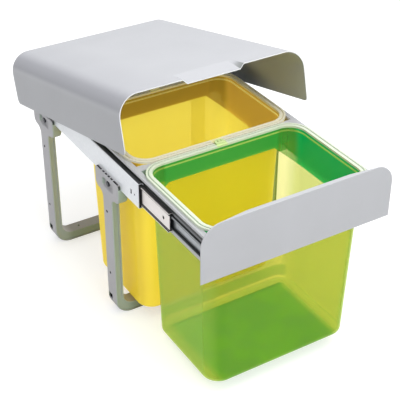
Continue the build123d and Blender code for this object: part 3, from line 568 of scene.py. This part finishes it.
    slant = f.add("LayerWeight", {}, {"Blend": 0.35}, "Facing")
    share = see_through * (1.0 - slant * slant * 0.7) * (1.0 - rim * 0.85) * (1.0 - pale * 0.4)
    share = share * (1.0 - collar_shade * (0.80 - corner * 0.38 + beside * 0.12))
    share = share * (1.0 - floor * 0.20 - flat * 0.36 - line * 0.40 - foot * 0.30)
    lit = f.mixed(glow_share * (1.0 - rim * 0.8), surface, scattered)
    return f.close(f.mixed(share, lit, through))


def dress():
    """Gives every node of the part its finish."""
    by_slot = {
        "leg_plastic": moulded_leg(),
        "slide_steel": plated_steel(
            "slide_steel", (linear(222, 225, 230), linear(243, 245, 248)),
            roughness=0.36, metallic=0.30, face_x=161.0,
        ),
        "ball_steel": polished_ball(),
        "fastener_steel": plated_fastener(
            "fastener_steel", (linear(160, 162, 168), linear(198, 199, 202)),
        ),
        "frame_paint": rail_paint(),
        "cover_paint": cover_paint(),
        "stop_rubber": stop_rubber(),
        "green_plastic": bin_plastic(
            "green_plastic", FRONT_BIN_Y, GREEN_TONES,
            see_through=0.87, glow_share=0.40, light=0.03, paleness=0.38,
        ),
        "yellow_plastic": bin_plastic(
            "yellow_plastic", REAR_BIN_Y, YELLOW_TONES,
            see_through=0.32, glow_share=0.50, light=0.16, paleness=0.0,
        ),
    }
    mid_channel = plated_steel(
        "mid_slide_steel", (linear(232, 225, 221), linear(246, 240, 237)),
        roughness=0.32, metallic=0.30, face_x=157.6, race=(12.6, 15.0), front_y=-221.5,
    )
    # The inner channels' darker tones are painted shade and painted dark reflection.
    inner_channel = plated_steel(
        "shaded_inner_slide_steel", (linear(124, 129, 132), linear(176, 180, 184)),
        roughness=0.20, metallic=0.85, face_x=153.2, race=(9.0, 10.6), front_y=-308.5,
    )
    by_name = {
        "left_mid_channel": mid_channel, "right_mid_channel": mid_channel,
        "left_inner_channel": inner_channel, "right_inner_channel": inner_channel,
        "front_panel": panel_paint(),
        "lug_screws": plated_fastener(
            "lug_screw_steel", (linear(36, 37, 42), linear(70, 71, 78)),
        ),
    }
    for name in by_name:
        assert name in nodes, name
    for part in frame["record"]["subparts"]:
        name = part["node"]
        node = nodes[name]
        finish = by_name.get(name, by_slot[part["material_slot"]])
        for place in node.material_slots:
            place.material = finish
        if not node.material_slots:
            node.data.materials.append(finish)


# ---------------------------------------------------------------- floor and light
FLOOR_HALF = 9.0             # metres
FLOOR_GREY = (0.55, 0.55, 0.55)
FLOOR_LIFT = 0.55            # light that the floor gives off where it is seen, to look white
SKY_TINT = (0.98, 0.99, 1.0)
SKY_LOW = 0.42               # brightness at the horizon
SKY_HIGH = 1.30              # and overhead


def lay_floor():
    """A plain pale floor that keeps the shadow but shows as white."""
    mesh = bpy.data.meshes.new("floor")
    form = bmesh.new()
    bmesh.ops.create_grid(form, x_segments=1, y_segments=1, size=FLOOR_HALF)
    form.to_mesh(mesh)
    form.free()
    floor = bpy.data.objects.new("floor", mesh)
    bpy.context.scene.collection.objects.link(floor)
    f = Finish("floor")
    matt = f.plain("BsdfDiffuse", FLOOR_GREY)
    lift = f.plain("Emission", WHITE, Strength=FLOOR_LIFT)
    lit = f.add("AddShader", {}, {0: matt, 1: lift})
    mesh.materials.append(f.close(f.mixed(f.seen(), matt, lit)))


def softbox(name, place, aim, size, power):
    """A square soft light that faces a point. Metres and watts."""
    data = bpy.data.lights.new(name, "AREA")
    data.shape = "SQUARE"
    data.size = size
    data.energy = power
    light = bpy.data.objects.new(name, data)
    bpy.context.scene.collection.objects.link(light)
    away = Vector(place) - Vector(aim)
    light.rotation_mode = "QUATERNION"
    light.rotation_quaternion = away.to_track_quat("Z", "Y")
    light.location = place


def light_studio():
    """A sky that brightens overhead but is plain white where it is seen, and two soft lights."""
    world = bpy.data.worlds.new("studio")
    bpy.context.scene.world = world
    world.use_nodes = True
    t = NodeTree(world.node_tree)
    ray = t.add("TexCoord", out="Generated")
    rise = t.slope(t.add("SeparateXYZ", {}, {0: ray}, "Z"), 0.0, 1.0)
    horizon = t.plain("Background", SKY_TINT, Strength=SKY_LOW)
    overhead = t.plain("Background", SKY_TINT, Strength=SKY_HIGH)
    white = t.plain("Background", WHITE, Strength=1.0)
    sky = t.mixed(t.seen(), t.mixed(rise, horizon, overhead), white)
    t.add("OutputWorld", {}, {"Surface": sky})
    softbox("top_light", (0.5, -0.6, 2.5), (0.0, -0.1, 0.3), size=1.6, power=25.0)
    softbox("front_light", (0.0, -2.5, 1.75), (0.0, -0.1, 0.25), size=1.4, power=24.0)


set_camera()
dress()
lay_floor()
light_studio()
bpy.context.scene.view_settings.view_transform = "Standard"
bpy.context.scene.cycles.transparent_max_bounces = 32
